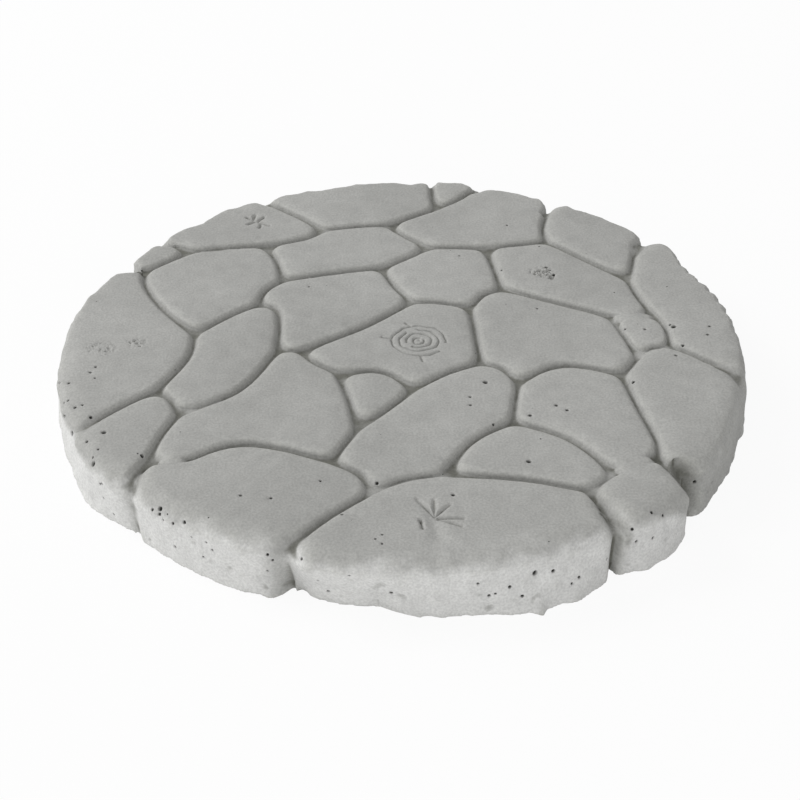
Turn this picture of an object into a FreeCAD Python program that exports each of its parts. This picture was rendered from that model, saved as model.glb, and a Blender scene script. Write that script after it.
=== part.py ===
"""Round garden stepping stone, cast in one piece of concrete.

Its face is moulded as a crazy paving: cobbles with rounded shoulders stand between sunk joints,
and the joints of the outer cobbles run on down the rim as notches that stop at a thin foot.
The stone lies flat with +Z up, and its origin is the middle of its base.
"""

import FreeCAD, Part
import math
import os

# Driving dimensions, in millimetres
STONE_DIAMETER = 400.0
STONE_THICKNESS = 38.0
JOINT_DEPTH = 4.8
JOINT_FLOOR_WIDTH = 3.2
SHOULDER_WIDTH = 2.6
CORNER_RADIUS = 3.5
RIM_CORNER_RADIUS = 2.0
RIM_SETBACK = 0.4
NOTCH_DEPTH = 9.0
FOOT_HEIGHT = 5.0
FOOT_INSET = 5.0

# How much further than the stone's radius each outer cobble stands out, in millimetres
RIM_BULGE = {
    "back": 2.0,
    "back_tip": 6.0,
    "back_right": 4.0,
    "right_back": 4.5,
    "right": 2.5,
    "right_front": 0.5,
    "front_right_knob": 7.0,
    "front": 3.0,
    "front_left": -1.0,
    "left_front": 2.0,
    "left": 0.0,
    "left_chip": -3.0,
    "back_left": 1.0,
}

# The smallest cobbles have shoulders of this share of the full width.
SHOULDER_SHARE = {"back_tip": 0.55, "right_chip": 0.55, "left_chip": 0.75}

# The rounded shoulder is drawn with this many flats, and starts this far below the joint floor.
SHOULDER_FLATS = 2
COBBLE_ROOT = 1.5

# The rim of an outer cobble is drawn with a point about every so many degrees.
RIM_STEP_DEG = 12.0

# The paving plan: places are in percent of the stone's radius, seen from above with +Y to the back.
# Junctions are where three cobbles meet. They are lettered as on a drawing.
INNER_JUNCTIONS_PERCENT = {
    "B": (-4.5, 72.0),
    "D": (-44.0, 58.5),
    "E": (-37.0, 36.5),
    "F": (9.5, 57.5),
    "G": (-6.0, 45.0),
    "H": (27.5, 57.5),
    "K": (31.5, 32.0),
    "L": (3.5, 24.0),
    "M": (21.5, 21.0),
    "N": (23.5, -9.5),
    "O": (4.5, -23.0),
    "P": (-18.5, -15.0),
    "Q": (-29.5, -3.5),
    "R": (-36.5, -3.5),
    "S": (-43.5, 22.5),
    "T": (-61.5, 5.0),
    "V": (-62.0, -36.5),
    "X": (-18.5, -58.5),
    "Y": (-12.0, -43.5),
    "a": (11.5, -64.0),
    "b": (31.5, -39.0),
    "c": (34.0, -20.0),
    "d": (64.5, -15.5),
    "g": (64.0, 16.0),
    "h": (78.0, 16.0),
    "j": (58.0, -63.0),
}


# Rim ends are where a joint meets the rim, in degrees from +X. They are numbered counter-clockwise.
RIM_ENDS_DEG = {
    "1": -9.6,
    "2": 36.7,
    "3": 60.2,
    "4": 74.5,
    "5": 84.6,
    "6": 118.1,
    "7": 142.4,
    "8": 153.0,
    "9": 206.6,
    "10": 225.3,
    "11": 253.0,
    "12": 304.0,
    "13": 318.5,
}

# Outer junctions are placed from a rim end nearby: its number, the degrees counter-clockwise from it,
# and how far in from the rim, in percent of the stone's radius.
OUTER_JUNCTIONS = {
    "A": ("6", -8.0, 27.1),
    "C": ("5", -2.5, 16.2),
    "I": ("3", -7.9, 22.3),
    "J": ("2", -9.0, 19.3),
    "U": ("9", -7.2, 26.3),
    "W": ("10", -3.6, 8.3),
    "Z": ("11", 11.1, 27.6),
    "e": ("1", 4.7, 29.7),
    "f": ("1", 9.6, 20.0),
    "i": ("13", 3.8, 10.9),
    "k": ("12", 1.6, 13.3),
    "l": ("7", -1.7, 14.0),
    "m": ("8", -0.6, 9.2),
}

# A joint runs straight between its two ends unless it bends through the points given here.
JOINT_BENDS_PERCENT = {
    "A 6": [(-33.5, 77.0)],
    "A B": [(-14.5, 71.0)],
    "B C": [(5.0, 78.5)],
    "C 4": [(18.0, 89.0)],
    "B F": [(2.0, 64.0)],
    "H I": [(37.0, 59.5)],
    "I 3": [(46.5, 71.5)],
    "J 2": [(74.5, 47.5)],
    "J h": [(73.5, 27.5)],
    "h f": [(80.0, 8.5)],
    "e f": [(74.0, -1.5)],
    "f 1": [(88.0, -6.5)],
    "d i": [(67.5, -33.5), (70.5, -46.0)],
    "a k": [(32.0, -65.5), (44.0, -69.0)],
    "b j": [(47.0, -47.5)],
    "b a": [(20.0, -48.5)],
    "c d": [(47.0, -10.5)],
    "N c": [(30.0, -13.0)],
    "O N": [(13.0, -15.5)],
    "M K": [(25.5, 28.5)],
    "L M": [(13.0, 23.5)],
    "L G": [(-2.0, 33.5)],
    "G F": [(1.0, 50.0)],
    "E G": [(-21.5, 41.0)],
    "D E": [(-39.5, 48.5)],
    "A D": [(-31.5, 62.5)],
    "D l": [(-55.5, 56.5)],
    "E S": [(-42.0, 30.5)],
    "S R": [(-38.0, 19.0), (-36.5, 11.0)],
    "T S": [(-52.5, 15.0)],
    "m T": [(-80.0, 34.5), (-73.5, 20.5)],
    "m l": [(-74.5, 47.5)],
    "T U": [(-62.0, -7.5)],
    "U 9": [(-78.5, -33.0)],
    "U V": [(-65.0, -29.5)],
    "V R": [(-45.5, -24.5)],
    "Q L": [(-11.5, 9.0)],
    "Q P": [(-25.0, -10.0)],
    "P O": [(-5.5, -14.5)],
    "P Y": [(-14.5, -28.5)],
    "O Y": [(-3.5, -33.5)],
    "Y X": [(-15.5, -51.5)],
    "X Z": [(-10.5, -64.0)],
    "Z a": [(1.0, -66.5)],
    "Z 11": [(-18.5, -82.5)],
    "W X": [(-56.5, -58.0), (-42.5, -49.5)],
    "V W": [(-66.0, -47.5)],
}

# Each cobble, by the junctions round it, counter-clockwise. An outer one ends with its two rim ends.
COBBLES = {
    "back": "A B C 5 6",
    "back_tip": "C 4 5",
    "back_right": "C B F H I 3 4",
    "right_back": "I J 2 3",
    "right": "J h f 1 2",
    "right_front": "f e d i 13 1",
    "front_right_knob": "i j k 12 13",
    "front": "k a Z 11 12",
    "front_left": "Z X W 10 11",
    "left_front": "W V U 9 10",
    "left": "U T m 8 9",
    "left_chip": "m l 7 8",
    "back_left": "l D A 6 7",
    "inner_left_back": "T S E D l m",
    "inner_back": "E G F B A D",
    "inner_middle_left": "S R Q L G E",
    "inner_back_right": "G L M K H F",
    "inner_right_back": "K g h J I H",
    "inner_right": "N c d e g K M",
    "centre": "Q P O N M L",
    "inner_front": "O Y X Z a b c N",
    "centre_wedge": "Y O P",
    "inner_front_left": "V W X Y P Q R",
    "inner_left": "T U V R S",
    "inner_front_right": "a k j b",
    "inner_right_front": "b j i d c",
    "right_chip": "e f h g",
}

# A corner of a smooth curve comes out at about its radius when its two poles stand this many
# tangent lengths from the corner, and at most this share of the way to the next point.
POLE_REACH = 1.2
POLE_REACH_SHARE = 0.42


def plan_point(percent):
    """A place of the paving plan, in millimetres."""
    scale = STONE_DIAMETER / 2 / 100
    return FreeCAD.Vector(percent[0] * scale, percent[1] * scale, 0)


def rim_point(degrees, radius):
    """A place on the rim, at an angle from +X."""
    angle = math.radians(degrees)
    return FreeCAD.Vector(math.cos(angle) * radius, math.sin(angle) * radius, 0)


def is_outer(cobble):
    """True for a cobble that reaches the rim."""
    return COBBLES[cobble].split()[-1] in RIM_ENDS_DEG


def rim_radius(cobble):
    """Radius of an outer cobble's stretch of the rim."""
    return STONE_DIAMETER / 2 + RIM_BULGE[cobble]


def rim_span(cobble):
    """The angles in degrees between which an outer cobble follows the rim, counter-clockwise."""
    start, end = (RIM_ENDS_DEG[label] for label in COBBLES[cobble].split()[-2:])
    return start, end if end > start else end + 360


def place(label, cobble):
    """A lettered junction or a numbered rim end, in millimetres."""
    if label in INNER_JUNCTIONS_PERCENT:
        return plan_point(INNER_JUNCTIONS_PERCENT[label])
    if label in OUTER_JUNCTIONS:
        rim_end, degrees, percent_in = OUTER_JUNCTIONS[label]
        return rim_point(RIM_ENDS_DEG[rim_end] + degrees, STONE_DIAMETER / 2 * (1 - percent_in / 100))
    return rim_point(RIM_ENDS_DEG[label], rim_radius(cobble))


def bends_between(start, end):
    """The points that the joint from start to end bends through, in that order."""
    if f"{start} {end}" in JOINT_BENDS_PERCENT:
        return [plan_point(p) for p in JOINT_BENDS_PERCENT[f"{start} {end}"]]
    return [plan_point(p) for p in reversed(JOINT_BENDS_PERCENT.get(f"{end} {start}", []))]


def rim_points(cobble):
    """The points of an outer cobble's rim between its two rim ends."""
    start, end = rim_span(cobble)
    steps = math.ceil((end - start) / RIM_STEP_DEG)
    return [rim_point(start + (end - start) * n / steps, rim_radius(cobble)) for n in range(1, steps)]


def cobble_line(cobble):
    """The closed line round a cobble, along the middle of its joints and along the rim.

    Each entry has a point, the radius of its corner, which is 0 at a bend, and the distance that
    the leg from there on keeps from the foot of the cobble's wall.
    """
    labels = COBBLES[cobble].split()
    line = []
    for start, end in zip(labels, labels[1:] + labels[:1]):
        radius = RIM_CORNER_RADIUS if start in RIM_ENDS_DEG else CORNER_RADIUS
        if start in RIM_ENDS_DEG and end in RIM_ENDS_DEG:
            between, distance = rim_points(cobble), RIM_SETBACK
        else:
            between, distance = bends_between(start, end), JOINT_FLOOR_WIDTH / 2
        line.append((place(start, cobble), radius, distance))
        line.extend((point, 0, distance) for point in between)
    return line


def meeting_point(point, before, after, distance_before, distance_after):
    """Where two legs through a point meet after each has moved a distance to its left."""
    left_before = FreeCAD.Vector(-before.y, before.x, 0) * distance_before
    left_after = FreeCAD.Vector(-after.y, after.x, 0) * distance_after
    turn = before.x * after.y - before.y * after.x
    nearly_straight = 0.1
    if abs(turn) < nearly_straight:
        return point + (left_before + left_after) * 0.5
    gap = left_after - left_before
    return point + left_before + before * ((gap.x * after.y - gap.y * after.x) / turn)


def inset_line(line, inset):
    """The points of the line after it has moved in to the foot of the cobble's wall and by the inset."""
    points = [point for point, _, _ in line]
    legs = [(q - p).normalize() for p, q in zip(points, points[1:] + points[:1])]
    distances = [distance + inset for _, _, distance in line]
    return [
        meeting_point(point, legs[n - 1], legs[n], distances[n - 1], distances[n])
        for n, point in enumerate(points)
    ]


def corner_poles(point, previous, following, radius):
    """Two poles on the legs of a corner, which round it."""
    back = previous - point
    ahead = following - point
    reach = POLE_REACH * radius / math.tan(back.getAngle(ahead) / 2)
    return [point + leg * min(reach / leg.Length, POLE_REACH_SHARE) for leg in (back, ahead)]


def bend_pole(point, previous, following):
    """The pole of a bend. The curve passes its poles at a distance, so the pole stands out past it."""
    return point + (point * 2 - previous - following) / 6


def outline(cobble, inset, height):
    """A cobble's smooth outline at a height, inset from the foot of its walls."""
    line = cobble_line(cobble)
    points = inset_line(line, inset)
    poles = []
    for n, (_, radius, _) in enumerate(line):
        previous, following = points[n - 1], points[(n + 1) % len(points)]
        if radius > 0:
            poles.extend(corner_poles(points[n], previous, following, radius))
        else:
            poles.append(bend_pole(points[n], previous, following))
    curve = Part.BSplineCurve()
    curve.buildFromPoles(poles, True, 3)
    wire = Part.Wire([curve.toShape()])
    wire.translate(FreeCAD.Vector(0, 0, height))
    return wire


def make_cobble(cobble):
    """One cobble, whose shoulder rounds from below the joint floor up to its flat top."""
    rise = JOINT_DEPTH + COBBLE_ROOT
    width = SHOULDER_WIDTH * SHOULDER_SHARE.get(cobble, 1)
    sections = []
    for flat in range(SHOULDER_FLATS + 1):
        angle = math.radians(90 * flat / SHOULDER_FLATS)
        inset = width * (1 - math.cos(angle))
        sections.append(outline(cobble, inset, STONE_THICKNESS - rise * (1 - math.sin(angle))))
    return Part.makeLoft(sections, True, True)


def notch_bottom(cobble):
    """The innermost point of the notch at an outer cobble's first rim end, on the line of its joint."""
    labels = COBBLES[cobble].split()
    end = place(labels[-2], cobble)
    inner = [place(labels[-3], cobble)] + bends_between(labels[-3], labels[-2])
    return end + (inner[-1] - end).normalize() * NOTCH_DEPTH


def rim_outline():
    """An arc along each outer cobble, and a sharp notch as wide as the joint floor between two."""
    arcs = []
    bottoms = []
    for cobble in sorted(filter(is_outer, COBBLES), key=rim_span):
        start, end = rim_span(cobble)
        radius = rim_radius(cobble)
        half_notch = math.degrees(JOINT_FLOOR_WIDTH / 2 / radius)
        stations = (start + half_notch, (start + end) / 2, end - half_notch)
        arcs.append(Part.Arc(*[rim_point(degrees, radius) for degrees in stations]))
        bottoms.append(notch_bottom(cobble))
    edges = []
    for n, arc in enumerate(arcs):
        edges.append(Part.LineSegment(arcs[n - 1].EndPoint, bottoms[n]).toShape())
        edges.append(Part.LineSegment(bottoms[n], arc.StartPoint).toShape())
        edges.append(arc.toShape())
    return Part.Wire(edges)


def make_bed():
    """The concrete below the joints with its notched rim, and the foot that the notches stop at."""
    bed_height = STONE_THICKNESS - JOINT_DEPTH
    bed = Part.Face(rim_outline()).extrude(FreeCAD.Vector(0, 0, bed_height))
    foot = Part.makeCylinder(STONE_DIAMETER / 2 - FOOT_INSET, FOOT_HEIGHT)
    return bed.fuse(foot)


def make_stone():
    """Bed and cobbles as one casting, moved so that the middle of its base is the origin."""
    bed = make_bed()
    stone = bed.fuse([make_cobble(cobble) for cobble in COBBLES]).removeSplitter()
    middle = bed.BoundBox.Center
    stone.translate(FreeCAD.Vector(-middle.x, -middle.y, 0))
    return stone


def main():
    os.makedirs("parts", exist_ok=True)
    stone = make_stone()
    box = stone.optimalBoundingBox()
    print(f"stepping_stone: {len(stone.Solids)} solid, {len(stone.Faces)} faces, valid {stone.isValid()}")
    print(f"size {box.XLength:.1f} x {box.YLength:.1f} x {box.ZLength:.1f} mm")
    print(f"volume {stone.Volume / 1e6:.3f} litres")
    stone.exportStep("parts/stepping_stone.step")


if __name__ == "__main__":
    main()
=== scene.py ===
# %% [markdown]
# # A garden stepping stone in cast concrete
#
# The real stone is one casting. Wet concrete was poured face down into a soft mould whose floor looks
# like crazy paving, shaken, and turned out when it had set. That gives soft round shoulders, sunk
# joints, a rough rim, small air holes and a few pressed marks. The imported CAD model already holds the
# plan, the joints and the thickness. This script dresses it: it softens the forms, breaks up the rim,
# presses the marks, opens the air holes and gives the surface the look of dry cement.

# %% Load the frame
import math

import bmesh
import bpy
import numpy as np
from mathutils import Matrix, Vector, kdtree, noise


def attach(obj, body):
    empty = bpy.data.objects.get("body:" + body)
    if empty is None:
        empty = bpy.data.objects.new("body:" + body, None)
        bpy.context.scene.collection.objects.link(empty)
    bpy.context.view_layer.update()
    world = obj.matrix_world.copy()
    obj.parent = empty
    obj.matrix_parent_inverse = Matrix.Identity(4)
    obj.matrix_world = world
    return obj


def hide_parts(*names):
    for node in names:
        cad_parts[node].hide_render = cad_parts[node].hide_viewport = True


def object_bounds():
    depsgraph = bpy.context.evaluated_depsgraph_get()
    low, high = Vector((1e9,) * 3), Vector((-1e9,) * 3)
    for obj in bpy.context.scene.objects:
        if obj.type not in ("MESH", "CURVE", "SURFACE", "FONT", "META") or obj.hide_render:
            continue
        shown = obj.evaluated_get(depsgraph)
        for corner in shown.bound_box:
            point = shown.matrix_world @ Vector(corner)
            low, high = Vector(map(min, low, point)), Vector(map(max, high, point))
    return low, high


MM = 0.001
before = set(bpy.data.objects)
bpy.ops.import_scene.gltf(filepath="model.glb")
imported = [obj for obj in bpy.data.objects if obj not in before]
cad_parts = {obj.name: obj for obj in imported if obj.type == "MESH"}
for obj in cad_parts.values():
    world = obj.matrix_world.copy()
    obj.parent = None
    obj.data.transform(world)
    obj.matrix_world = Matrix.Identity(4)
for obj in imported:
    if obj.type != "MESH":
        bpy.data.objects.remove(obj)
cad_box = [list(corner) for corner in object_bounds()]
print("CAD box in metres:", cad_box)

# %% [markdown]
# ## A copy to sculpt on
#
# The CAD object itself stays as it is, so its mesh is copied and its loose triangles are joined. Some
# notches in the rim had filled with concrete on the real stone, one of them up to the brim. A block
# inside each is the quick way to fill it, because the next step melts all that overlaps into one skin.

# %% Copy the casting and fill some notches
# The middle of the stone on the plan
RIM_CENTRE = Vector((-1.25, -0.95)) * MM
# Points of the CAD mesh that are nearer to each other than this are one point.
MERGE_DISTANCE = 0.002 * MM
# Degrees from +X, and the radius that the filling reaches, in millimetres
FILLED_NOTCHES = [
    (36.7, 201), (206.6, 199.4), (225.3, 200.5), (253, 200), (304, 201), (318.5, 199.5), (350.4, 201.5),
]
# Length along the radius, width and height of a filling, and the height of its foot
FILLING_SIZE = Vector((12, 20, 31)) * MM
FILLING_FOOT = 1 * MM


def rim_place(degrees, radius, height):
    """A place at an angle from +X, a radius from the middle of the stone and a height, in metres."""
    angle = math.radians(degrees)
    return RIM_CENTRE.to_3d() + Vector((math.cos(angle) * radius, math.sin(angle) * radius, height))


skin = bmesh.new()
skin.from_mesh(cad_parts["stepping_stone"].data)
bmesh.ops.remove_doubles(skin, verts=skin.verts, dist=MERGE_DISTANCE)
for degrees, reach_mm in FILLED_NOTCHES:
    middle = rim_place(degrees, reach_mm * MM - FILLING_SIZE.x / 2, FILLING_SIZE.z / 2 + FILLING_FOOT)
    turned = Matrix.Rotation(math.radians(degrees), 4, "Z")
    sized = Matrix.Diagonal(FILLING_SIZE).to_4x4()
    bmesh.ops.create_cube(skin, size=1, matrix=Matrix.Translation(middle) @ turned @ sized)
stone = bpy.data.objects.new("cast_stone", bpy.data.meshes.new("cast_stone"))
bpy.context.scene.collection.objects.link(stone)
skin.to_mesh(stone.data)
skin.free()
print("copied, with notches filled:", len(FILLED_NOTCHES))

# %% [markdown]
# ## An even skin
#
# The CAD mesh has long thin triangles, good for flat faces but impossible to sculpt. A voxel remesh
# covers the same form with even quads, fine enough for the joints. The marks and air holes get finer
# quads of their own later, and at the end the flat parts are thinned out again.

# %% Remesh
QUAD_SIZE = 1.15 * MM


def bake_modifiers(thing):
    """Puts the mesh that an object's modifiers give in place of its own."""
    evaluated = thing.evaluated_get(bpy.context.evaluated_depsgraph_get())
    baked = bpy.data.meshes.new_from_object(evaluated)
    thing.modifiers.clear()
    thing.data = baked


even_quads = stone.modifiers.new("even_quads", "REMESH")
even_quads.mode = "VOXEL"
even_quads.voxel_size = QUAD_SIZE
bake_modifiers(stone)
skin = bmesh.new()
skin.from_mesh(stone.data)
print("even quads:", len(skin.faces))

# %% [markdown]
# ## Soft edges
#
# A casting from a rubber mould has no sharp edge anywhere. A bevel would need clean edges to work on,
# and the remesh has left none, so the whole skin is relaxed instead: each pass moves every point half
# way to the middle of its neighbours, which rounds edges and joint floors alike.

# %% Relax the skin
RELAX_PASSES = 2
RELAX_SHARE = 0.5


def relax(mesh, points, passes):
    """Moves points of a mesh towards their neighbours, a few times over."""
    for _ in range(passes):
        bmesh.ops.smooth_vert(
            mesh, verts=points, factor=RELAX_SHARE, use_axis_x=True, use_axis_y=True, use_axis_z=True
        )


relax(skin, skin.verts, RELAX_PASSES)
print("relaxed", RELAX_PASSES, "times")

# %% [markdown]
# ## Joints that fade out
#
# The mould was worn, and some joints are shallow or nearly closed. Each one is given here by the
# stretch that it fades on, the share of its depth that has filled up and how far that reaches. The
# points near that stretch are lifted towards the face of the stone, less and less towards the sides.

# %% Fill the faint joints
FACE_HEIGHT = cad_box[1][2]
JOINT_DEPTH = 4.8 * MM
JOINT_FLOOR = FACE_HEIGHT - JOINT_DEPTH
BELOW_FLOOR = JOINT_FLOOR - 1 * MM
# Points below this height aren't lifted.
LIFT_FOOT = JOINT_FLOOR - 4 * MM
# Up to this share of its reach, a joint is filled as much as in its middle.
LIFT_CORE = 0.25

# Start and end on the plan in millimetres, the share that is filled, and the reach in millimetres
FAINT_JOINTS = [
    ((134, 31), (147, 31), 0.85, 8),
    ((142, -9), (154, -2), 0.5, 8),
    ((128, 24), (129, 2), 0.25, 8),
    ((131, -116), (121, -123), 0.95, 8),
    ((112, -129), (104, -137), 0.4, 8),
    ((-116, 112), (-126, 110), 0.5, 8),
    ((-14, -143), (20, -130), 0.35, 9),
    ((-116, -68), (-107, -62), 0.5, 9),
    ((-48, 137), (-14, 142), 0.3, 9),
    ((-126, -120), (-121, -118.5), 0.9, 6),
    ((-179, -90), (-187, -94), 1.0, 7),
]


def limited(value, low=0, high=1):
    """The value, kept between two limits."""
    return min(max(value, low), high)


def smooth_step(low, high, value):
    """0 at low and below, 1 at high and above, and a smooth rise between them."""
    share = limited((value - low) / (high - low))
    return share * share * (3 - 2 * share)


def distance_to_line(x, y, start, end):
    """Distance on the plan from a point to the straight line between two others."""
    run_x, run_y = end[0] - start[0], end[1] - start[1]
    along = limited(((x - start[0]) * run_x + (y - start[1]) * run_y) / (run_x * run_x + run_y * run_y))
    return math.hypot(x - start[0] - along * run_x, y - start[1] - along * run_y)


lifted = 0
upper = [vert for vert in skin.verts if vert.co.z > LIFT_FOOT]
for start_mm, end_mm, filled, reach_mm in FAINT_JOINTS:
    start, end = Vector(start_mm) * MM, Vector(end_mm) * MM
    for vert in upper:
        distance = distance_to_line(vert.co.x, vert.co.y, start, end)
        near = 1 - smooth_step(LIFT_CORE, 1, distance / (reach_mm * MM))
        if near > 0:
            near *= smooth_step(LIFT_FOOT, BELOW_FLOOR, vert.co.z)
            vert.co.z += (FACE_HEIGHT - vert.co.z) * filled * near
            lifted += 1
print("points lifted in faint joints:", lifted)

# %% [markdown]
# ## Joints that bend at the rim
#
# Two joints swing to one side just before they reach the rim. The points near their ends are turned
# about the middle of the stone, fully at the rim and less and less further in.

# %% Bend the ends of two joints
# The bend starts at the first radius, and is full from the second on.
BEND_START = 160 * MM
BEND_FULL = 195 * MM
# How far along the rim the bend reaches to either side
BEND_REACH = 30 * MM

# Degrees from +X of a joint's end, and how far it moves along the rim, in millimetres
BENT_ENDS = [(36.7, 9), (225.3, -6)]


def direction_of(point):
    """Degrees from +X of a point, seen from the middle of the stone."""
    return math.degrees(math.atan2(point.y - RIM_CENTRE.y, point.x - RIM_CENTRE.x)) % 360


def along_rim(degrees, at, radius):
    """How far one direction lies from another along the rim, in metres."""
    return math.radians(degrees - at) * radius


for vert in skin.verts:
    out = vert.co.xy - RIM_CENTRE
    radius = out.length
    bend = smooth_step(BEND_START, BEND_FULL, radius)
    if bend > 0:
        degrees = direction_of(vert.co)
        for at, shift_mm in BENT_ENDS:
            away = along_rim(degrees, at, radius) / BEND_REACH
            share = bend * max(1 - away * away, 0) ** 2
            out.rotate(Matrix.Rotation(share * shift_mm * MM / radius, 2))
        vert.co.x, vert.co.y = RIM_CENTRE + out
print("joint ends bent:", len(BENT_ENDS))

# %% [markdown]
# ## Narrow joints
#
# A joint has no flat floor: its sides slope down and meet in a narrow line. Two moves make that. Each
# point of a joint looks up the nearest face and rises to a slope that starts there. Then the sides are
# drawn towards the middle of the joint, which is what lies furthest from any face.

# %% Slope the sides of the joints and draw them in
# A joint starts this far below the faces, and its sides go on from there with this slope.
JOINT_START = 2.0 * MM
JOINT_SLOPE = 1.0
# From this far from the nearest face on, a point is in the middle of a joint.
JOINT_MIDDLE = 1.9 * MM
# The sides are drawn in by this much, less and less away from the joint and towards its middle.
DRAWN_IN = 1.2 * MM
DRAWN_FULL = 2.4 * MM
DRAWN_REACH = 10 * MM
# The rim's wall is clear of all joints below this height, and a band of it stands for the whole.
WALL_TOP = 22 * MM
WALL_BAND = 3 * MM
# What lies nearer to the wall than this belongs to the rim and isn't taken for a joint.
WALL_CLEARANCE = 4 * MM


def finder_of(places):
    """A search tree that finds the nearest of the places."""
    tree = kdtree.KDTree(len(places))
    for number, place in enumerate(places):
        tree.insert(place, number)
    tree.balance()
    return tree


def flat(point):
    """A point's place on the plan."""
    return Vector((point.x, point.y, 0))


nearest_face = finder_of([flat(vert.co) for vert in skin.verts if vert.co.z > FACE_HEIGHT - JOINT_START])
wall = [vert for vert in skin.verts if WALL_TOP - WALL_BAND < vert.co.z < WALL_TOP]
nearest_wall = finder_of([flat(vert.co) for vert in wall])
upper = [vert for vert in skin.verts if vert.co.z > BELOW_FLOOR]
middles = []
for vert in upper:
    if vert.co.z < FACE_HEIGHT - JOINT_START:
        place = flat(vert.co)
        to_face = nearest_face.find(place)[2]
        vert.co.z = max(vert.co.z, FACE_HEIGHT - JOINT_START - JOINT_SLOPE * to_face)
        if to_face > JOINT_MIDDLE and nearest_wall.find(place)[2] > WALL_CLEARANCE:
            middles.append(place)
nearest_middle = finder_of(middles)
for vert in upper:
    middle, _, distance = nearest_middle.find(flat(vert.co))
    if 0 < distance < DRAWN_REACH:
        share = min(distance / DRAWN_FULL, (DRAWN_REACH - distance) / (DRAWN_REACH - DRAWN_FULL))
        vert.co += (middle - flat(vert.co)) / distance * DRAWN_IN * share
print("points in the middle of a joint:", len(middles))

# %% [markdown]
# ## Cobbles like pillows
#
# A cobble's face is flat only in its middle. From about a centimetre away it bends down to its joints,
# and at the front and left of the stone it rolls over into the rim. Both follow from the distance to
# the nearest joint and to the rim's wall. The plan of the paving was read off at the height of the
# faces, as seen from the front, so what sinks moves back a little as well and stays in line.

# %% Round the faces towards joints and rim
PILLOW_REACH = 12 * MM
PILLOW_DROP = 1.5 * MM
EDGE_REACH = 14 * MM
# How far a point moves back for each millimetre that it sinks
BACK_SHARE = 1.4
# Both that move and the darkening in the joints, part dirt and part painted shade, stop short of the wall
# by this much.
WALL_EDGE = 1 * MM
# From this far from the wall on, a point moves back fully.
BACK_FULL = 8 * MM
# A joint is painted darker, part dirt and part painted shade, from the first depth on, and fully so from
# the second.
DIRT_AND_SHADE_START = 2.4 * MM
DIRT_AND_SHADE_FULL = 5 * MM

# Degrees from +X, and how far the edge of the face is rolled down to the rim there, in millimetres
EDGE_DROPS = [
    (0, 2), (20, 0.4), (165, 0.5), (185, 3.5), (215, 5), (300, 5), (312, 4), (318, 3), (326, 4.5),
    (345, 4.5), (355, 3), (360, 2),
]


def value_at(steps, degrees):
    """The value in metres at an angle, in a straight line between the listed ones in millimetres."""
    angles, values = zip(*steps)
    return float(np.interp(degrees, angles, values)) * MM


def fall(distance, reach):
    """1 at no distance, and less and less to 0 at the reach."""
    return max(1 - distance / reach, 0) ** 2


sunk = [vert.co.copy() for vert in upper if vert.co.z < FACE_HEIGHT - JOINT_START]
nearest_joint = finder_of([place for place in sunk if nearest_wall.find(flat(place))[2] > WALL_CLEARANCE])
joint_dirt_and_shade_layer = skin.verts.layers.float.new("joint")
for vert in skin.verts:
    if vert.co.z > WALL_TOP:
        depth = FACE_HEIGHT - vert.co.z
        above_floor = (vert.co.z - JOINT_FLOOR) / (FACE_HEIGHT - JOINT_START - JOINT_FLOOR)
        above_wall = (vert.co.z - WALL_TOP) / (FACE_HEIGHT - WALL_TOP)
        to_wall = nearest_wall.find(flat(vert.co))[2]
        pillow = PILLOW_DROP * fall(nearest_joint.find(vert.co)[2], PILLOW_REACH)
        edge = value_at(EDGE_DROPS, direction_of(vert.co)) * fall(to_wall, EDGE_REACH) * above_wall
        inside = smooth_step(WALL_EDGE, WALL_CLEARANCE, to_wall)
        # Deeper in a joint the colour is darker: part dirt, part painted shade.
        vert[joint_dirt_and_shade_layer] = smooth_step(DIRT_AND_SHADE_START, DIRT_AND_SHADE_FULL, depth) * inside
        vert.co.z -= pillow * limited(above_floor) + edge
        vert.co.y += pillow * BACK_SHARE * smooth_step(WALL_EDGE, BACK_FULL, to_wall)
print("faces rounded by", PILLOW_DROP / MM, "mm at the joints")

# %% [markdown]
# ## Joints that open out
#
# On both sides of the small knob at the front right, and at the front left, the joints get wider and
# deeper towards the rim. Each is pressed down once more along a line, as if with a finger. One more
# pass of relaxing takes the hard edges off all that was shaped so far.

# %% Open some joints towards the rim
# Start and end on the plan, half width and depth, in millimetres
DEEP_JOINTS = [
    ((-138, -121), (-145, -138), 2.5, 2.5),
    ((140, -110), (146, -117), 3.5, 1.5),
    ((146, -117), (152, -123), 4.5, 4.0),
    ((152, -123), (160, -130), 5.5, 7.0),
    ((101, -144), (104, -152), 3.5, 2.0),
    ((104, -152), (118, -169), 3.5, 3.0),
]
# What is pressed this deep, in millimetres, begins to be painted darker, part dirt and part painted shade,
# or is fully so.
PRESSED_START = 1
PRESSED_FULL = 4


def groove(distance, half_width, depth):
    """Depth of a round-bottomed groove at a distance from its line."""
    return depth * math.exp(-((distance / half_width) ** 2))


for vert in skin.verts:
    if vert.co.z > WALL_TOP:
        x, y = vert.co.x / MM, vert.co.y / MM
        pressed = max(
            groove(distance_to_line(x, y, start, end), half_width, depth)
            for start, end, half_width, depth in DEEP_JOINTS
        )
        vert.co.z -= pressed * MM * smooth_step(WALL_TOP, BELOW_FLOOR, vert.co.z)
        # Pressed places are painted darker: part dirt, part painted shade.
        vert[joint_dirt_and_shade_layer] = max(vert[joint_dirt_and_shade_layer], smooth_step(PRESSED_START, PRESSED_FULL, pressed))
relax(skin, skin.verts, passes=1)
print("joints opened:", len(DEEP_JOINTS))

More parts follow.
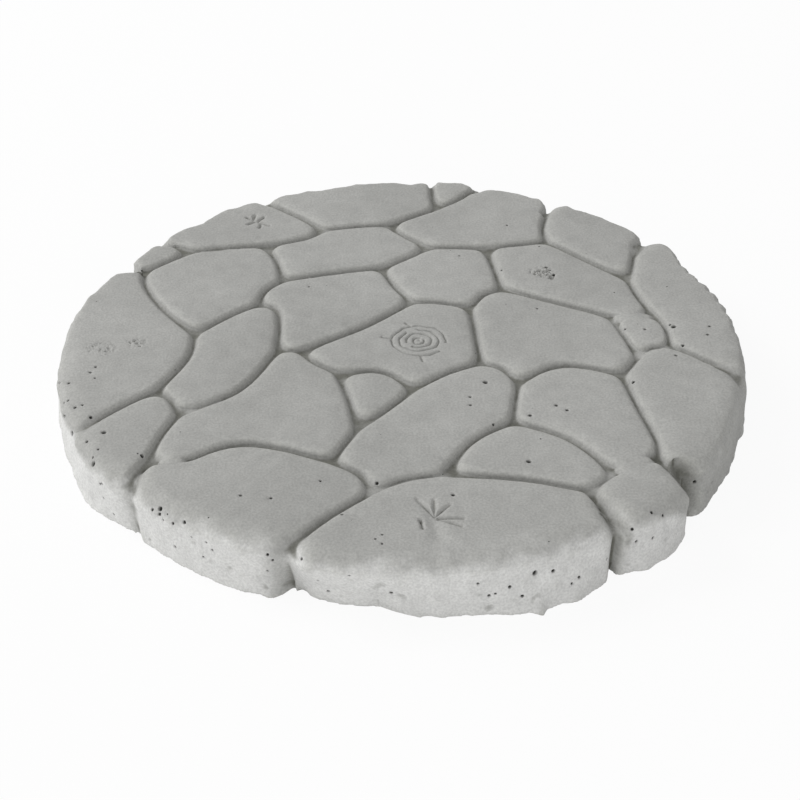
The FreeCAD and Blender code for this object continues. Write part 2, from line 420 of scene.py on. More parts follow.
# %% [markdown]
# ## The rim
#
# Below its shoulder the rim is not a clean cylinder. At the front the foot of the casting is drawn in
# by a good centimetre on one side of a notch and stands out on the other, and the whole rim is uneven
# as if it were hewn. Foot and head of the rim are moved in or out by lists of angles, and a
# soft noise is added to that. The grooves that the notches leave, a thin flash beside a notch and a nub
# at the foot are listed as well. At the end the filled notches are relaxed until no edge of the filling
# is left.

# %% List how the rim stands in and out
# The rim starts at the first radius, and moves fully from the second on.
RIM_INNER = 184 * MM
RIM_OUTER = 194 * MM
# From this height on, the rim moves as its head does.
SHOULDER_FOOT = 31 * MM
# The remesh and the relaxing have drawn the rim in by this much.
RIM_GROWTH = 1.1 * MM

# Degrees from +X, and how far the foot of the rim stands out there, in millimetres
FOOT_OFFSETS = [
    (172, 0), (180, 1.5), (190, 1.5), (206, 0.5), (213, 1.5), (219, -4), (222, -5.5), (227, -2),
    (237, -2), (246, -1), (250, -4.5), (255, -13), (262, -11), (267, -11), (273, -2.5), (282, -0.5),
    (288, 5), (297, 5), (302, 1), (306, -4), (309, 2), (316, 0.5), (318, -0.7), (321, 1), (328, 0.5),
    (345, 0.5), (350, 3), (356, 0),
]
# The same for the head of the rim
HEAD_OFFSETS = [
    (0, 0), (4, 0.5), (6, -1), (8, 0.6), (9.5, 1.6), (11, -0.2), (13, 1.8), (14.5, 0), (16.5, 1.6),
    (18, -0.6), (20, 1.4), (21.5, -1), (23.5, 0.6), (25, -2), (26.5, 0.4), (28, -0.2), (29.5, 2.6),
    (30.5, 3), (33, 8), (36, 11), (39, -1), (42, 1.5), (50, 1.5), (55, 0.5), (57, 2.5), (60, -5), (63, 1),
    (73, 0.5), (78, 2), (82, 1), (85, 6), (88, 1), (92, 3), (97, 1), (99, 2), (101, -0.4), (103, 0.8),
    (106, -2), (108.5, 0), (110.5, -1.4), (113, 0.4), (116, -0.4), (121, 1.5), (123.5, -0.4), (125, 1),
    (127, -0.6), (132, -5.5), (136, -2), (141, -3), (144, 0), (147, -1), (150, -1), (153, -11), (156, -3),
    (160, -2), (168, 0), (280, 0),
]
# Degrees, depth and half width of the grooves that the notches leave on the rim, in millimetres
RIM_GROOVES = [
    (38.2, 3, 3), (60.2, 3, 3), (74.5, 2, 3), (118.1, 3, 3), (142.4, 2, 3), (223.6, 3, 7),
    (253.5, 5.5, 8), (304, 5, 3.5), (322.5, 9, 6), (350.4, 1.2, 4),
]
# Degrees and half width in millimetres of the darkening in two of them, part dirt and part painted shade
DIRT_AND_SHADE_GROOVES = [(304, 2.5), (322.5, 6)]
# Degrees, half width and height in millimetres of what stands out at the foot, and how far
FOOT_BUMPS = [(251, 6, 5, 5), (290.4, 3, 9, 4)]
# Length and height of the waves that make the rim look hewn, in millimetres
RIM_WAVES = [(26, 1.0), (9, 1.1), (4, 0.35)]
print("places listed on the rim:", len(FOOT_OFFSETS), "at its foot and", len(HEAD_OFFSETS), "at its head")


# %% Shape the rim
def waves(point, sizes_mm, shift=0):
    """A soft noise in metres from waves of the given sizes. Another shift gives another noise."""
    return sum(
        noise.noise(point / (length * MM) + Vector((shift, shift, shift))) * height * MM
        for length, height in sizes_mm
    )


def rim_move(point, degrees, radius):
    """How far a point of the rim moves out."""
    rise = limited(point.z / SHOULDER_FOOT)
    move = RIM_GROWTH + waves(point, RIM_WAVES)
    move += value_at(FOOT_OFFSETS, degrees) * (1 - rise) + value_at(HEAD_OFFSETS, degrees) * rise
    for at, depth, half_width in RIM_GROOVES:
        move -= groove(along_rim(degrees, at, radius) / MM, half_width, depth) * MM
    for at, half_width, height, out in FOOT_BUMPS:
        low_down = max(1 - point.z / (height * MM), 0)
        move += groove(along_rim(degrees, at, radius) / MM, half_width, out) * low_down * MM
    return move


box_low, box_high = (Vector(corner) for corner in cad_box)
for vert in skin.verts:
    out = vert.co.xy - RIM_CENTRE
    radius = out.length
    on_rim = smooth_step(RIM_INNER, RIM_OUTER, radius)
    if on_rim > 0:
        degrees = direction_of(vert.co)
        out *= 1 + on_rim * rim_move(vert.co, degrees, radius) / radius
        # Two grooves are painted darker down the rim: part dirt, part painted shade.
        for at, half_width in DIRT_AND_SHADE_GROOVES:
            groove_dirt_and_shade = groove(along_rim(degrees, at, radius) / MM, half_width, depth=1) * on_rim
            vert[joint_dirt_and_shade_layer] = max(vert[joint_dirt_and_shade_layer], groove_dirt_and_shade)
        vert.co.x = limited(RIM_CENTRE.x + out.x, box_low.x, box_high.x)
        vert.co.y = limited(RIM_CENTRE.y + out.y, box_low.y, box_high.y)
print("rim shaped")

# %% Relax the filled notches
# How far along the rim this reaches to either side of a notch, and the height where it starts
NOTCH_REACH = 14 * MM
NOTCH_FOOT = 7 * MM
NOTCH_PASSES = 16


def in_filled_notch(point):
    """Whether a point of the rim lies near the middle of a filled notch, and above its foot."""
    radius = (point.xy - RIM_CENTRE).length
    away = min(abs(direction_of(point) - degrees) for degrees, _ in FILLED_NOTCHES)
    return radius > RIM_INNER and point.z > NOTCH_FOOT and math.radians(away) * radius < NOTCH_REACH


notch_points = [vert for vert in skin.verts if in_filled_notch(vert.co)]
relax(skin, notch_points, NOTCH_PASSES)
print("points relaxed in filled notches:", len(notch_points))

# %% [markdown]
# ## Uneven faces
#
# The cobbles look flat, but a hand run over them feels gentle hollows. A low noise moves the face by a
# few tenths of a millimetre, and never above its full height, so that the stone keeps its thickness.

# %% Make the faces uneven
# Length and height of the waves, in millimetres
FACE_WAVES = [(34, 0.35), (11, 0.2), (5, 0.12)]
FACE_DROP = sum(height for _, height in FACE_WAVES) * MM
FACE_SHIFT = 7
# What lies above this is the face or the upper rim.
UPPER_RIM = SHOULDER_FOOT / 2

for vert in skin.verts:
    if vert.co.z > UPPER_RIM:
        uneven = waves(vert.co, FACE_WAVES, FACE_SHIFT)
        vert.co.z = min(vert.co.z + uneven - FACE_DROP / 2, FACE_HEIGHT)
print("faces uneven by up to", round(FACE_DROP / MM, 2), "mm")

# %% [markdown]
# ## The underside
#
# Nobody sees it, and it lies flat on the ground. Its quads would cost a third of the mesh, so they are
# cut out and one flat face closes the hole.

# %% Close the underside with one face
# A face of the underside lies below this height, and its normal points down by more than this.
BASE_HEIGHT = 0.8 * MM
FACING_DOWN = -0.9

skin.normal_update()
facing_down = [face for face in skin.faces if face.normal.z < FACING_DOWN]
under = [face for face in facing_down if face.calc_center_median().z < BASE_HEIGHT]
bmesh.ops.delete(skin, geom=under, context="FACES")
open_edges = [edge for edge in skin.edges if edge.is_boundary]
for vert in {vert for edge in open_edges for vert in edge.verts}:
    vert.co.z = 0
closed = bmesh.ops.holes_fill(skin, edges=open_edges, sides=0)["faces"]
for vert in skin.verts:
    vert.co.z = max(vert.co.z, 0)
print("underside faces:", len(closed), "in place of", len(under))

# %% [markdown]
# ## Pressed marks
#
# The mould has left a few small marks in the face: rings like those of a cut branch, a fan of short
# strokes with a hollow below it, and a sprig. In some rough patches the skin broke away. All of them are
# a few millimetres deep at most, and finer than the quads, so the quads that a mark touches are split
# first. Each mark is a function that says how deep the surface lies at a place.

# %% Press marks with finer quads
SPLITS = 2
# Quads are split where a mark is deeper than this, in millimetres.
MARK_EDGE = 0.04


def press(mesh, centre_mm, reach_mm, depth_mm):
    """Presses a mark into the face. depth_mm gives the depth at x and y millimetres from its centre."""
    centre = Vector(centre_mm) * MM

    def depth_at(point):
        off = (point.xy - centre) / MM
        on_face = off.length < reach_mm and point.z > UPPER_RIM
        return depth_mm(off.x, off.y) if on_face else 0

    edges = set()
    for face in mesh.faces:
        # Four points tell enough, also of the one large face below.
        if max(depth_at(vert.co) for vert in face.verts[:4]) > MARK_EDGE:
            edges.update(face.edges)
    bmesh.ops.subdivide_edges(mesh, edges=list(edges), cuts=SPLITS, use_grid_fill=True)
    for vert in mesh.verts:
        vert.co.z -= depth_at(vert.co) * MM


def wobble(x, y, length, height, layer):
    """A soft noise that makes strokes uneven. Each mark has a layer of the noise to itself."""
    return noise.noise(Vector((x / length, y / length, layer))) * height


print("quads under a mark are split", SPLITS + 1, "by", SPLITS + 1)

# %% Press the rings
# Radius of each ring in millimetres, and start and end of its gap in degrees
RING_RADII = [3.4, 7.4, 11.6, 16.0]
RING_GAPS = [(20, 75), (200, 235), (95, 130), (318, 350)]
RING_TICKS = [((-16.5, 2), (-22, 3.5)), ((1, -17), (2, -22)), ((-5, 16), (-8, 19))]


def rings(x, y):
    """Four broken rings with a dot in the middle and three short ticks outside."""
    radius = math.hypot(x, y)
    degrees = math.degrees(math.atan2(y, x)) % 360
    uneven = wobble(x, y, length=7, height=1.3, layer=3)
    depth = groove(radius, half_width=0.9, depth=0.9)
    for ring, (gap_start, gap_end) in zip(RING_RADII, RING_GAPS):
        if not gap_start < degrees < gap_end:
            depth = max(depth, groove(radius - ring + uneven, half_width=0.7, depth=1.2))
    for start, end in RING_TICKS:
        depth = max(depth, groove(distance_to_line(x, y, start, end), half_width=0.8, depth=1.2))
    return depth


press(skin, centre_mm=(10, 2), reach_mm=24, depth_mm=rings)
print("rings pressed, faces now", len(skin.faces))

# %% Press the fan of strokes and its hollow
FAN_STROKES = [
    ((0, 0), (-9, 14)), ((0, 0), (0, 13)), ((0, 0), (8, 9)), ((2, -1), (15, -2)), ((2, -2), (14, -8)),
    ((-7, -4), (-6, -10)),
]
HOLLOW_START = (0, -7)
HOLLOW_END = (2, -18)
# Depth of a stroke at its start, and how much of it is lost for each millimetre of its length
STROKE_DEPTH = 2.4
STROKE_FALL = 0.09


def fan(x, y):
    """Short strokes that spread from one point, over a long shallow hollow."""
    uneven = wobble(x, y, length=5, height=0.9, layer=11)
    to_hollow = distance_to_line(x, y, HOLLOW_START, HOLLOW_END)
    depth = groove(to_hollow + uneven, half_width=4.5, depth=1.6)
    depth += groove(math.hypot(x, y) + uneven, half_width=5, depth=1.0)
    for start, end in FAN_STROKES:
        length = math.hypot(x - start[0], y - start[1])
        across = distance_to_line(x, y, start, end) + uneven / 2
        depth = max(depth, groove(across, half_width=1.2, depth=STROKE_DEPTH - length * STROKE_FALL))
    return depth


press(skin, centre_mm=(17, -165), reach_mm=34, depth_mm=fan)
print("fan pressed, faces now", len(skin.faces))

# %% Press the sprig
SPRIG_STROKES = [
    ((-7, 5), (0, 0)), ((0, 0), (8, -5)), ((-3, 2), (-2, 8)), ((0, 0), (4, 6)), ((-1, 0.5), (-6, -4)),
    ((3, -2), (2, -8)),
]


def sprig(x, y):
    """A short stem with four side shoots."""
    uneven = wobble(x, y, length=4, height=0.6, layer=23)
    return max(
        groove(distance_to_line(x, y, start, end) + uneven, half_width=1.1, depth=1.6)
        for start, end in SPRIG_STROKES
    )


press(skin, centre_mm=(-96, 146), reach_mm=12, depth_mm=sprig)
print("sprig pressed, faces now", len(skin.faces))

# %% Break away the rough patches
# Place on the plan, reach and depth in millimetres
ROUGH_PATCHES = [((88, 82), 8, 3.0), ((93, 77), 5, 2.4), ((-177, -8), 10, 1.4), ((-157, -2), 7, 1.6)]
# Up to this share of its reach, a patch is broken all over.
PATCH_CORE = 0.3
# A patch is wider than it is long: across, distances count for this share.
PATCH_WIDTH = 0.8
# Size in millimetres, roughness, size ratio and number of layers of the noise that makes the pits
PIT_SIZE = 3
PIT_ROUGHNESS = 0.7
PIT_RATIO = 2.1
PIT_LAYERS = 4
# The more is added to that noise, the more of the skin is broken.
PIT_MORE = 0.1


def rough_patch(reach, depth):
    """A patch of broken skin: pits of all sizes that get shallower towards its edge."""

    def pits(x, y):
        inside = 1 - smooth_step(PATCH_CORE, 1, math.hypot(x * PATCH_WIDTH, y) / reach)
        place = Vector((x / PIT_SIZE + reach, y / PIT_SIZE, depth))
        rough = noise.fractal(place, PIT_ROUGHNESS, PIT_RATIO, PIT_LAYERS)
        return depth * inside * max(rough + PIT_MORE, 0)

    return pits


for centre_mm, reach, depth in ROUGH_PATCHES:
    press(skin, centre_mm, reach, rough_patch(reach, depth))
print("rough patches broken away, faces now", len(skin.faces))

# %% [markdown]
# ## Air holes
#
# Bubbles that stuck to the mould left small round holes, most of them near the left rim and on the
# front. The larger ones are real holes: the quads round each are split, their points are pushed in, and
# their insides are painted dark with shade. Finer ones are left to the material, as dots of painted shade.

# %% List the larger air holes
# Place on the plan and radius, in millimetres
FACE_HOLES = [
    (48, -42, 1.7), (68, -118, 1.6), (-164, -93, 1.6), (163, 20, 1.7), (92, -70, 1.1), (39, -57, 1.0),
    (39, -65, 1.0), (72, -74, 1.2), (87, -65, 1.2), (52, -84, 0.9), (132, -40, 1.2), (161, -13, 1.1),
    (166, -1, 1.0), (182, 10, 1.1), (185, 19, 1.1), (145, 16, 1.0), (133, 17, 0.9), (27, -148, 1.2),
    (-15, -138, 1.1), (-31, -163, 1.0), (-43, -136, 0.9), (-84, -149, 1.0), (-68, -151, 1.0),
    (-148, 40, 0.9), (-75, 72, 0.9), (-58, 63, 0.8), (36, 102, 0.8), (61, 85, 0.8), (68, 142, 0.9),
    (82, 38, 0.9), (108, -159, 1.2), (-178, -28, 1.0), (-180, -34, 1.0), (-177, -40, 0.8),
    (-192, -43, 1.0), (-184, -68, 1.1), (-180, -67, 0.9), (-190, -60, 1.0), (-139, -113, 1.4),
    (-174, -100, 1.0), (-173, -78, 1.1), (119, -177, 1.0), (132, -160, 1.0), (147, -166, 1.0),
    (-10, -181, 0.8), (-13, -185, 0.8), (-10, -188, 0.8), (-165, -108, 0.8), (160.5, 22, 1.0),
    (90.6, 87.5, 1.3), (92.3, 83.8, 1.0), (94.5, 78.9, 1.2),
]
# Degrees round the rim, height and radius in millimetres
RIM_HOLES = [
    (289.7, 23, 1.7), (292.6, 21, 1.2), (286.1, 17, 1.1), (288.1, 11, 1.1), (283.2, 13, 1.0),
    (281.5, 22, 0.9), (268.9, 15, 1.2), (259.5, 9, 1.1), (262.9, 30, 0.9), (254.8, 35, 1.0),
    (297, 12, 1.0), (295.6, 10, 0.9), (301.9, 16, 0.9), (191.1, 36, 1.0), (199.3, 31, 1.0),
    (203.9, 29, 1.8), (198.3, 8, 1.0), (214.5, 33, 1.7), (230.9, 35, 1.5), (229.2, 33, 1.0),
    (231, 32, 1.1), (217.1, 15, 1.0), (217.3, 26, 0.8), (235.6, 34, 1.2), (241, 22, 0.9), (310, 20, 1.1),
    (190.3, 35, 0.9), (196.8, 35, 0.9), (199.7, 32, 1.0), (200.6, 13, 0.9), (213.5, 35, 0.9),
    (217.7, 27, 0.9), (219.3, 7, 0.9), (224.8, 21, 0.8), (231.9, 28, 0.8), (234.2, 30, 0.9),
    (233.7, 13, 1.1), (237.1, 26, 0.8), (240, 26, 0.8), (239.5, 15, 0.8), (250.5, 32, 0.9),
    (251.6, 27, 0.8), (250.3, 18, 0.9), (258.1, 19, 0.8), (284, 14, 0.8), (323, 23, 1.2),
    (328.7, 15, 1.0), (307.1, 22, 1.1),
]
print("air holes listed:", len(FACE_HOLES), "on the face and", len(RIM_HOLES), "on the rim")

# %% Open the larger air holes
# The search for a hole's place on the rim starts at this radius.
RIM_SEARCH = 202 * MM
# A hole is this many times as deep as its radius, and painted dark with shade up to this share of it.
HOLE_DEPTH = 1.5
HOLE_DARK = 0.6


def points_near(start, reach):
    """The points of a mesh that lie within reach of a point and hang together with it."""
    found = {start}
    waiting = [start]
    while waiting:
        vert = waiting.pop()
        for edge in vert.link_edges:
            other = edge.other_vert(vert)
            if other not in found and (other.co - start.co).length < reach:
                found.add(other)
                waiting.append(other)
    return found


targets = [(Vector((x * MM, y * MM, FACE_HEIGHT)), radius * MM) for x, y, radius in FACE_HOLES]
targets += [
    (rim_place(degrees, RIM_SEARCH, height * MM), radius * MM) for degrees, height, radius in RIM_HOLES
]
hole_shade_layer = skin.verts.layers.float.new("hole")
skin.normal_update()
points = list(skin.verts)
surface = finder_of([vert.co for vert in points])
mouths = [points[surface.find(target)[1]] for target, _ in targets]
holes = [(mouth.co.copy(), -mouth.normal, radius) for mouth, (_, radius) in zip(mouths, targets)]
edges = {
    edge
    for mouth, (_, radius) in zip(mouths, targets)
    for vert in points_near(mouth, radius + QUAD_SIZE / 2)
    for face in vert.link_faces
    for edge in face.edges
}
bmesh.ops.subdivide_edges(skin, edges=list(edges), cuts=SPLITS, use_grid_fill=True)
nearest_hole = finder_of([middle for middle, _, _ in holes])
for vert in skin.verts:
    _, number, distance = nearest_hole.find(vert.co)
    _, inward, radius = holes[number]
    share = distance / radius
    if share < 1:
        # The inside of a hole is painted dark: painted shade.
        vert[hole_shade_layer] = 1 - smooth_step(HOLE_DARK, 1, share)
        vert.co += inward * radius * HOLE_DEPTH * (1 - share * share)
print(len(holes), "air holes opened, faces now", len(skin.faces))

# %% [markdown]
# ## What the finish has to know
#
# Hollows are painted darker, part dirt and part painted shade, and what stands out is worn paler. Both
# follow
# from one measure: how far a relaxed copy of the skin lies outside or inside the skin itself. And at the
# front and left the rim is paler, below a line that wanders up and down, with a grey stripe below some
# joints: partly a pale dry skin, partly painted light where the lamps fall on it. These two measures are
# kept on the points, for the material to read.

# %% Measure the hollows and the pale part of the rim
# The copy is relaxed this often, and where it lies this far outside, the hollow counts as 1.
HOLLOW_PASSES = 36
HOLLOW_FULL = 1.2 * MM
# The pale part of the rim, partly dry skin and partly painted light, starts at the first radius and is full
# from the second on, below a line this soft.
PALE_INNER = 186 * MM
PALE_OUTER = 193 * MM
PALE_BLUR = 3.5 * MM

# Degrees from +X, and the height below which the rim is pale there, in millimetres. It is pale only at the
# front and left, where the lamps light the rim: partly dry skin, partly painted light.
PALE_LINE = [
    (0, -9), (150, -9), (180, 24), (190, 29), (210, 30), (240, 33), (265, 34), (290, 34.5), (305, 33),
    (314, 28), (322, 10), (328, -9), (360, -9),
]
# Length and height of the waves in that line, in millimetres
PALE_WAVES = [(30, 4), (8, 2), (3, 1)]
PALE_SHIFT = 31
# Degrees and half width of the grey stripes, in millimetres, and how much of the paleness they hide
GREY_STRIPES = [(223.6, 4), (252, 8), (304, 4)]
STRIPE_SHARE = 0.8

skin.normal_update()
relaxed = skin.copy()
relax(relaxed, relaxed.verts, HOLLOW_PASSES)
hollow_layer = skin.verts.layers.float.new("hollow")
pale_layer = skin.verts.layers.float.new("pale")
for vert, soft in zip(skin.verts, relaxed.verts):
    vert[hollow_layer] = (soft.co - vert.co).dot(vert.normal) / HOLLOW_FULL
    radius = (vert.co.xy - RIM_CENTRE).length
    if radius > PALE_INNER:
        degrees = direction_of(vert.co)
        below_line = value_at(PALE_LINE, degrees) + waves(vert.co, PALE_WAVES, PALE_SHIFT) - vert.co.z
        stripe = max(
            groove(along_rim(degrees, at, radius) / MM, half_width, depth=1)
            for at, half_width in GREY_STRIPES
        )
        on_rim = smooth_step(PALE_INNER, PALE_OUTER, radius) * (1 - STRIPE_SHARE * stripe)
        # The rim is painted paler at the front and left: partly dry skin, partly painted light.
        vert[pale_layer] = smooth_step(-PALE_BLUR, PALE_BLUR, below_line) * on_rim
relaxed.free()
skin.to_mesh(stone.data)
skin.free()
print("hollows and pale rim measured")

# %% [markdown]
# ## A lighter mesh
#
# The flat parts have far more faces than they need. A decimate modifier takes away faces where the
# surface is flattest first, and keeps them where it curves. It runs once, and its result is kept. That
# can move a point a hair out of the CAD box, so all points are put back inside.

# %% Thin out the flat parts
TRIANGLE_LIMIT = 185000

stone.data.calc_loop_triangles()
before = len(stone.data.loop_triangles)
thinner = stone.modifiers.new("thinner", "DECIMATE")
thinner.ratio = min(TRIANGLE_LIMIT / before, 1)
bake_modifiers(stone)

skin = bmesh.new()
skin.from_mesh(stone.data)
skin.normal_update()
for vert in skin.verts:
    vert.co = [limited(*sides) for sides in zip(vert.co, box_low, box_high)]
for face in skin.faces:
    face.smooth = face.normal.z > FACING_DOWN
for edge in skin.edges:
    edge.smooth = all(face.smooth for face in edge.link_faces)
skin.to_mesh(stone.data)
skin.free()
stone.data.calc_loop_triangles()
print("triangles:", len(stone.data.loop_triangles), "from", before)

# %% [markdown]
# ## Cast concrete
#
# The material is plain grey cement with fine sand, cast against a mould. It has hardly any gloss, and
# its grey wanders: cloudy over a hand's width, mottled over a finger's width and speckled by the sand.
# Hollows are darker, part dirt and part painted shade; edges are paler where dry cement shows, and the
# rim is paler with dry cement and with painted light at the front and left. The grain is bump, and the air
# holes are painted dark with shade, the fine ones as dots of colour because they are smaller than the
# quads.

# %% Make the cast concrete
FACE_GREY = "#AEAEAB"
FACE_GREY_DARK = "#A4A4A1"
# Pale rim: partly dry cement, partly painted light
RIM_GREY = "#D3D3D1"
# Joints and hollows: part dirt, part painted shade
JOINT_DIRT_AND_SHADE_GREY = "#6C6C65"
EDGE_GREY = "#B9B9B4"
# Painted shade inside the air holes
HOLE_SHADE_GREY = "#2B2B28"
# Size in millimetres and finer layers of the clouds, the mottling and the sand, which is drawn coarser
# than it is so that it shows
PATTERNS = [(75, 3.0), (9, 4.0), (1.3, 2.0)]


def linear(hex_colour):
    """The linear colour, with full alpha, of an sRGB hex value."""
    values = [int(hex_colour[start : start + 2], 16) / 255 for start in (1, 3, 5)]
    return [
        value / 12.92 if value <= 0.04045 else ((value + 0.055) / 1.055) ** 2.4 for value in values
    ] + [1]


def add_node(tree, kind, settings=None, inputs=None):
    """Adds a node. An input is a value, or the output socket of another node."""
    node = tree.nodes.new(kind)
    for name, value in (settings or {}).items():
        setattr(node, name, value)
    for name, value in (inputs or {}).items():
        if isinstance(value, bpy.types.NodeSocket):
            tree.links.new(value, node.inputs[name])
        else:
            node.inputs[name].default_value = value
    return node


def per_metre(size_mm):
    """The texture scale that gives a pattern of this size."""
    return 1 / (size_mm * MM)


concrete = bpy.data.materials.new("cast_concrete")
concrete.use_nodes = True
tree = concrete.node_tree
tree.nodes.clear()
place = add_node(tree, "ShaderNodeTexCoord").outputs["Object"]
clouds, mottle, sand = (
    add_node(
        tree, "ShaderNodeTexNoise", inputs={"Vector": place, "Scale": per_metre(size_mm), "Detail": detail}
    ).outputs["Fac"]
    for size_mm, detail in PATTERNS
)
hollow, joint, pale, hole = (
    add_node(tree, "ShaderNodeAttribute", {"attribute_name": name}).outputs["Fac"]
    for name in ("hollow", "joint", "pale", "hole")
)
print("patterns in mm:", [size_mm for size_mm, _ in PATTERNS])

# %% Lay the greys over each other
# A measure turned into a share from 0 to 1: the measure, and where the share starts and ends
cloudy, in_hollow, worn, patchy = (
    add_node(
        tree, "ShaderNodeMapRange", inputs={"Value": measure, "From Min": start, "From Max": end}
    ).outputs["Result"]
    for measure, start, end in (
        (clouds, 0.35, 0.65), (hollow, 0.2, 0.8), (hollow, -0.15, -1.8), (mottle, 0.1, 0.6)
    )
)
# Joints and hollows are painted darker: part dirt, part painted shade.
dirt_and_shade = patchy
for operation, measure in (("MULTIPLY", joint), ("MAXIMUM", in_hollow)):
    inputs = {0: dirt_and_shade, 1: measure}
    dirt_and_shade = add_node(tree, "ShaderNodeMath", {"operation": operation}, inputs).outputs["Value"]
grey = linear(FACE_GREY_DARK)
# The rim coat is partly dry cement and partly painted light.
for share, coat in ((cloudy, FACE_GREY), (pale, RIM_GREY), (dirt_and_shade, JOINT_DIRT_AND_SHADE_GREY), (worn, EDGE_GREY)):
    grey = add_node(
        tree, "ShaderNodeMix", {"data_type": "RGBA"}, {"Factor": share, "A": grey, "B": linear(coat)}
    ).outputs["Result"]

# Sand and mottling make the grey lighter and darker by these shares.
for pattern, spread in ((sand, 0.12), (mottle, 0.05)):
    shade = add_node(
        tree, "ShaderNodeMapRange",
        inputs={
            "Value": pattern, "From Min": 0.3, "From Max": 0.7, "To Min": 1 - spread, "To Max": 1 + spread,
        },
    ).outputs["Result"]
    grey = add_node(
        tree, "ShaderNodeVectorMath", {"operation": "SCALE"}, {"Vector": grey, "Scale": shade}
    ).outputs["Vector"]
print("greys laid:", FACE_GREY, RIM_GREY, JOINT_DIRT_AND_SHADE_GREY, EDGE_GREY)

# %% Add the fine air holes
# Spacing of the fine holes in millimetres, and the radius of the largest as a share of it
HOLE_SPACING = 11
HOLE_SHARE = 0.055
# This share of the places has no hole.
HOLE_FREE = 0.45

# The fine air holes are dark dots of painted shade.
bubbles = add_node(tree, "ShaderNodeTexVoronoi", inputs={"Vector": place, "Scale": per_metre(HOLE_SPACING)})
chance = add_node(tree, "ShaderNodeSeparateColor", inputs={"Color": bubbles.outputs["Color"]})
bubble_size = add_node(
    tree, "ShaderNodeMapRange",
    inputs={"Value": chance.outputs["Red"], "From Min": HOLE_FREE, "From Max": 1.0, "To Max": HOLE_SHARE},
)
fine_hole_shade = add_node(
    tree, "ShaderNodeMath", {"operation": "LESS_THAN"},
    {0: bubbles.outputs["Distance"], 1: bubble_size.outputs["Result"]},
)
painted_hole_shade = add_node(
    tree, "ShaderNodeMath", {"operation": "MAXIMUM"}, {0: fine_hole_shade.outputs["Value"], 1: hole}
)
# Both kinds of air hole are painted near black: painted shade.
grey = add_node(
    tree, "ShaderNodeMix", {"data_type": "RGBA"},
    {"Factor": painted_hole_shade.outputs["Value"], "A": grey, "B": linear(HOLE_SHADE_GREY)},
).outputs["Result"]
print("fine air holes about", HOLE_SPACING, "mm apart")

# %% Add the grain and the shader
normal = None
for pattern, strength, height in ((mottle, 0.35, 0.5 * MM), (sand, 0.6, 0.4 * MM)):
    inputs = {"Height": pattern, "Strength": strength, "Distance": height}
    if normal:
        inputs["Normal"] = normal
    normal = add_node(tree, "ShaderNodeBump", inputs=inputs).outputs["Normal"]
shader = add_node(
    tree, "ShaderNodeBsdfPrincipled",
    inputs={"Base Color": grey, "Roughness": 0.92, "IOR": 1.5, "Normal": normal},
)
add_node(tree, "ShaderNodeOutputMaterial", inputs={"Surface": shader.outputs["BSDF"]})
stone.data.materials.clear()
stone.data.materials.append(concrete)
print("material:", concrete.name)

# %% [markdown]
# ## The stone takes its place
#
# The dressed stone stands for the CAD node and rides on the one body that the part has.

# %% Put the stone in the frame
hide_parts("stepping_stone")
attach(stone, "root")
print("stone in place:", [round(side / MM, 1) for side in stone.dimensions])

# %% [markdown]
# ## Floor, light and camera
#
# The photograph is a plain product picture on white. The floor is white to the camera and still takes
# a faint shadow. A wide soft lamp stands at the left and a little behind, so that the sides of the
# joints that face it are bright and the others dim, and a second one at the front left lights the rim.

# %% Lay the floor
# Half the floor's side, in metres
FLOOR_HALF = 6.0
# The share of its own white that the camera sees; the rest is the light and shadow on the floor.
OWN_WHITE = 0.92
PAPER_WHITE = "#F4F4F4"
PURE_WHITE = "#FFFFFF"

floor_mesh = bpy.data.meshes.new("floor")
ground = bmesh.new()
bmesh.ops.create_grid(ground, x_segments=1, y_segments=1, size=FLOOR_HALF)
ground.to_mesh(floor_mesh)
ground.free()
floor = bpy.data.objects.new("floor", floor_mesh)
bpy.context.scene.collection.objects.link(floor)


def seen_as_white(tree):
    """1 for a ray from the camera, or from a gloss or through glass, and 0 for light on its way."""
    rays = add_node(tree, "ShaderNodeLightPath")
    seen = rays.outputs["Is Camera Ray"]
    for ray in ("Is Glossy Ray", "Is Transmission Ray"):
        inputs = {0: seen, 1: rays.outputs[ray]}
        seen = add_node(tree, "ShaderNodeMath", {"operation": "MAXIMUM"}, inputs).outputs["Value"]
    return seen


paper = bpy.data.materials.new("white_paper")
paper.use_nodes = True
paper_tree = paper.node_tree
paper_tree.nodes.clear()
white_share = add_node(
    paper_tree, "ShaderNodeMath", {"operation": "MULTIPLY"}, {0: seen_as_white(paper_tree), 1: OWN_WHITE}
)
matt = add_node(paper_tree, "ShaderNodeBsdfDiffuse", inputs={"Color": linear(PAPER_WHITE)})
white = add_node(paper_tree, "ShaderNodeEmission", inputs={"Color": linear(PURE_WHITE), "Strength": 1.0})
paper_mix = add_node(
    paper_tree, "ShaderNodeMixShader",
    inputs={0: white_share.outputs["Value"], 1: matt.outputs["BSDF"], 2: white.outputs["Emission"]},
)
add_node(paper_tree, "ShaderNodeOutputMaterial", inputs={"Surface": paper_mix.outputs["Shader"]})
floor.data.materials.append(paper)
print("floor laid")


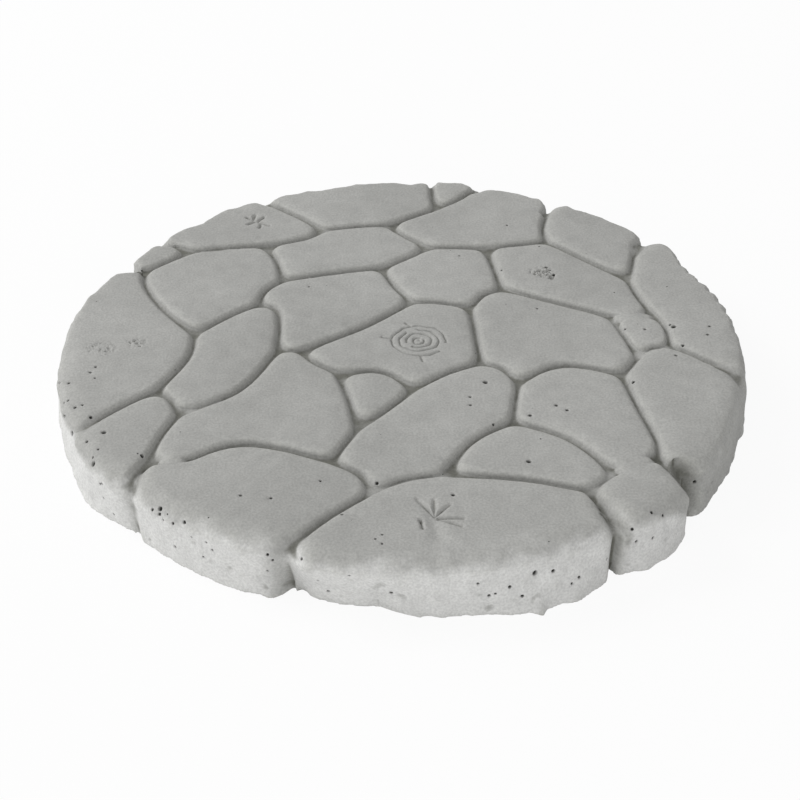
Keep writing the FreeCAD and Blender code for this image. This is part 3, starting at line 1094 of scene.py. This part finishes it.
# %% Set the lights
def add_lamp(name, position, size, watts):
    """A square soft lamp that points at the stone."""
    lamp = bpy.data.lights.new(name, "AREA")
    lamp.size = size
    lamp.energy = watts
    holder = bpy.data.objects.new(name, lamp)
    holder.location = position
    holder.rotation_euler = (-Vector(position)).to_track_quat("-Z", "Y").to_euler()
    bpy.context.scene.collection.objects.link(holder)


add_lamp("left_softbox", position=(-2.8, 1.2, 2.2), size=2.0, watts=80)
add_lamp("front_fill", position=(-0.6, -3.5, 0.8), size=2.0, watts=40)

world = bpy.data.worlds.new("studio")
bpy.context.scene.world = world
world.use_nodes = True
sky = world.node_tree
sky.nodes.clear()
sky_light = add_node(sky, "ShaderNodeBackground", inputs={"Color": linear(PURE_WHITE), "Strength": 0.5})
sky_white = add_node(sky, "ShaderNodeBackground", inputs={"Color": linear(PURE_WHITE), "Strength": 1.0})
sky_mix = add_node(
    sky, "ShaderNodeMixShader",
    inputs={0: seen_as_white(sky), 1: sky_light.outputs["Background"], 2: sky_white.outputs["Background"]},
)
add_node(sky, "ShaderNodeOutputWorld", inputs={"Surface": sky_mix.outputs["Shader"]})
bpy.context.scene.view_settings.view_transform = "Standard"
print("lights set")

# %% Place the camera
IMAGE_SIDE = 800
FOCAL_PIXELS = 1815
# In metres
CAMERA_DISTANCE = 1.1
CAMERA_ELEVATION = math.radians(34.4)
CAMERA_ROLL = math.radians(0.25)
AIM = Vector((0.25, 4.1, 0)) * MM
# Where the aim lies in the picture, in pixels right of and below its middle
AIM_RIGHT = 2.6
AIM_DOWN = -9.5

lens = bpy.data.cameras.new("camera")
lens.sensor_width = 36
lens.lens = lens.sensor_width * FOCAL_PIXELS / IMAGE_SIDE
lens.shift_x = -AIM_RIGHT / IMAGE_SIDE
lens.shift_y = AIM_DOWN / IMAGE_SIDE
camera = bpy.data.objects.new("camera", lens)
back = Vector((0, -math.cos(CAMERA_ELEVATION), math.sin(CAMERA_ELEVATION)))
turn = Matrix.Rotation(math.pi / 2 - CAMERA_ELEVATION, 4, "X") @ Matrix.Rotation(CAMERA_ROLL, 4, "Z")
camera.matrix_world = Matrix.Translation(AIM + back * CAMERA_DISTANCE) @ turn
bpy.context.scene.collection.objects.link(camera)
bpy.context.scene.camera = camera
print("camera at", [round(side, 3) for side in camera.location])
